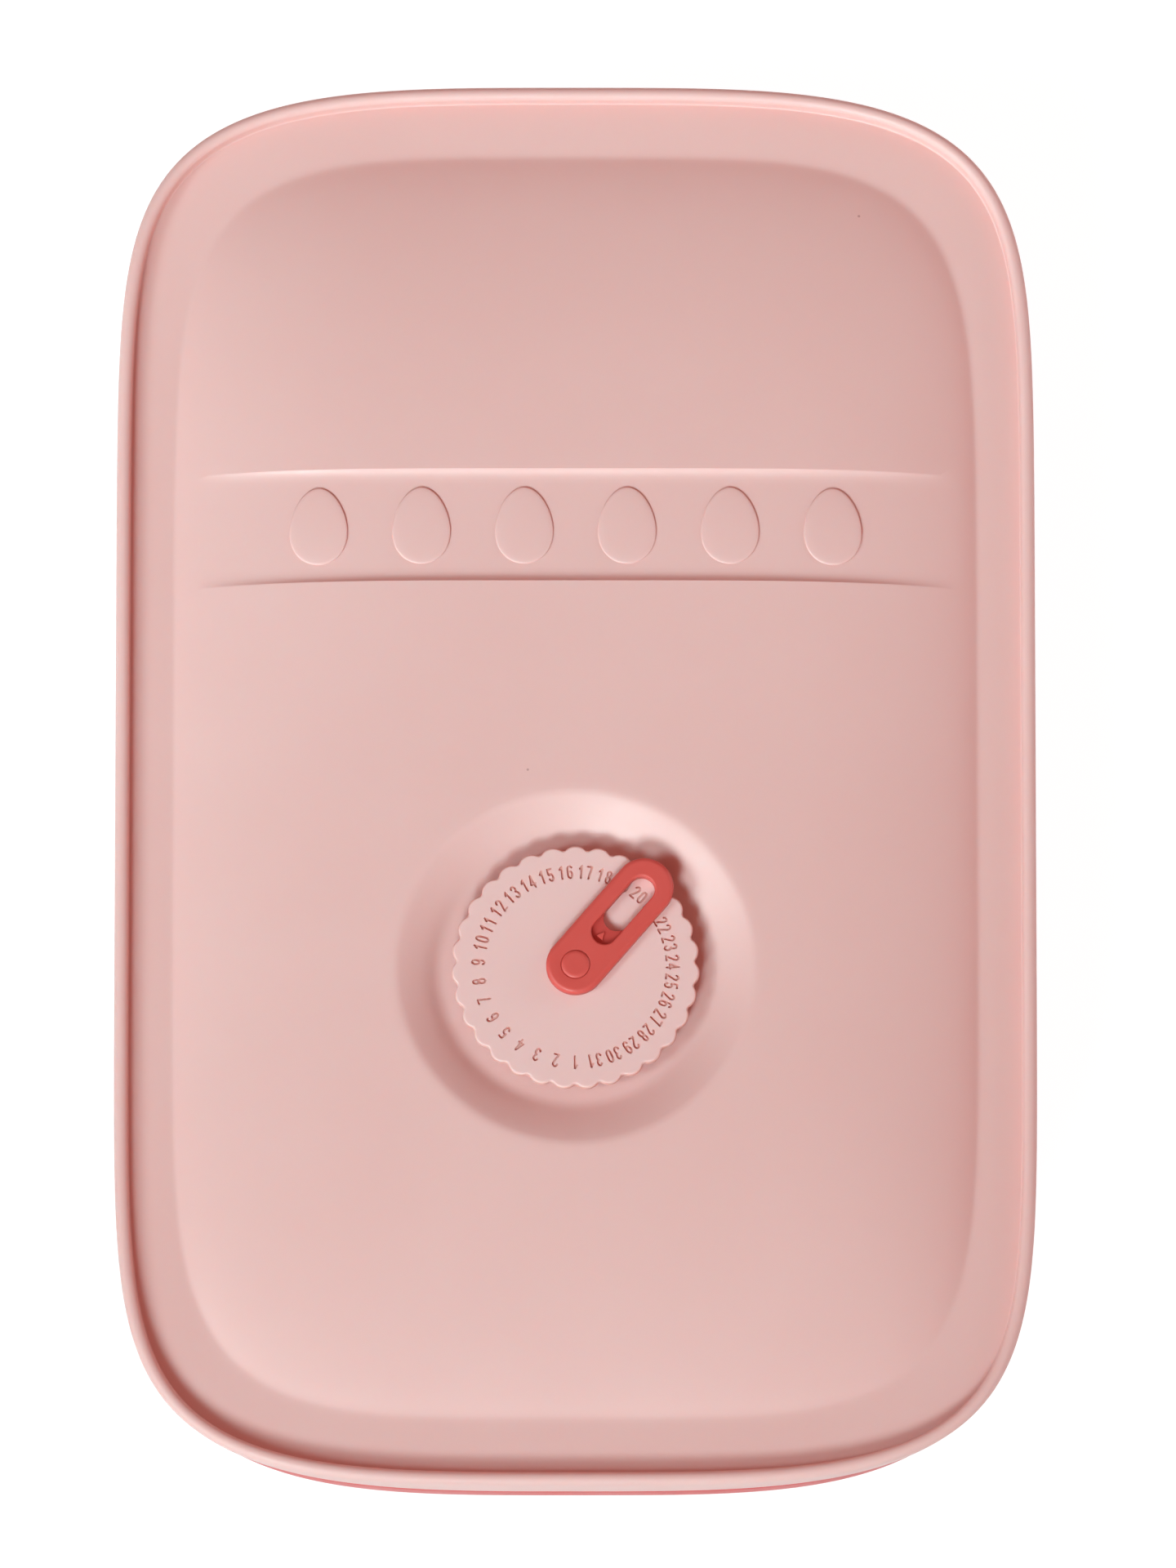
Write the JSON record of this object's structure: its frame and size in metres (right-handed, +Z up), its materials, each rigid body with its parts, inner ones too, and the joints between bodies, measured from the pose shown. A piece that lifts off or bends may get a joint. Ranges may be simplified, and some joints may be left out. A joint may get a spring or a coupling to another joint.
{
  "type": "lidded rolling egg box with date dial",
  "caption": "Rounded kitchen egg box: deep tub, lift-out tray with sloped lanes that eggs roll down, and a domed lift-off lid with a turning date dial and a window pointer.",
  "frame": {"origin": "on the table, under the middle of the box's bounding box", "axes": "+Z up, +Y along the length from the low front end of the lanes to the back, +X across the width to the right"},
  "size_m": [0.2146, 0.334, 0.0765],
  "materials": {
    "pink_plastic": "satin moulded plastic, pale pink",
    "coral_plastic": "satin moulded plastic, coral red"
  },
  "bodies": {
    "box": {"base": "coral_plastic", "roll_tray": "pink_plastic"},
    "cover": {"lid": "pink_plastic", "pivot_pin": "coral_plastic"},
    "dial": {"date_dial": "pink_plastic"},
    "pointer": {"pointer": "coral_plastic"}
  },
  "joints": [
    {"name": "lift_off", "type": "slide", "parent": "box", "child": "cover", "axis": [0, 0, 1], "range_m": [0, 0.12]},
    {"name": "dial_turn", "type": "hinge", "parent": "cover", "child": "dial", "pos_m": [0, -0.046, 0.072], "axis": [0, 0, 1], "continuous": true},
    {"name": "pointer_turn", "type": "hinge", "parent": "cover", "child": "pointer", "pos_m": [0, -0.046, 0.0745], "axis": [0, 0, 1], "continuous": true}
  ]
}
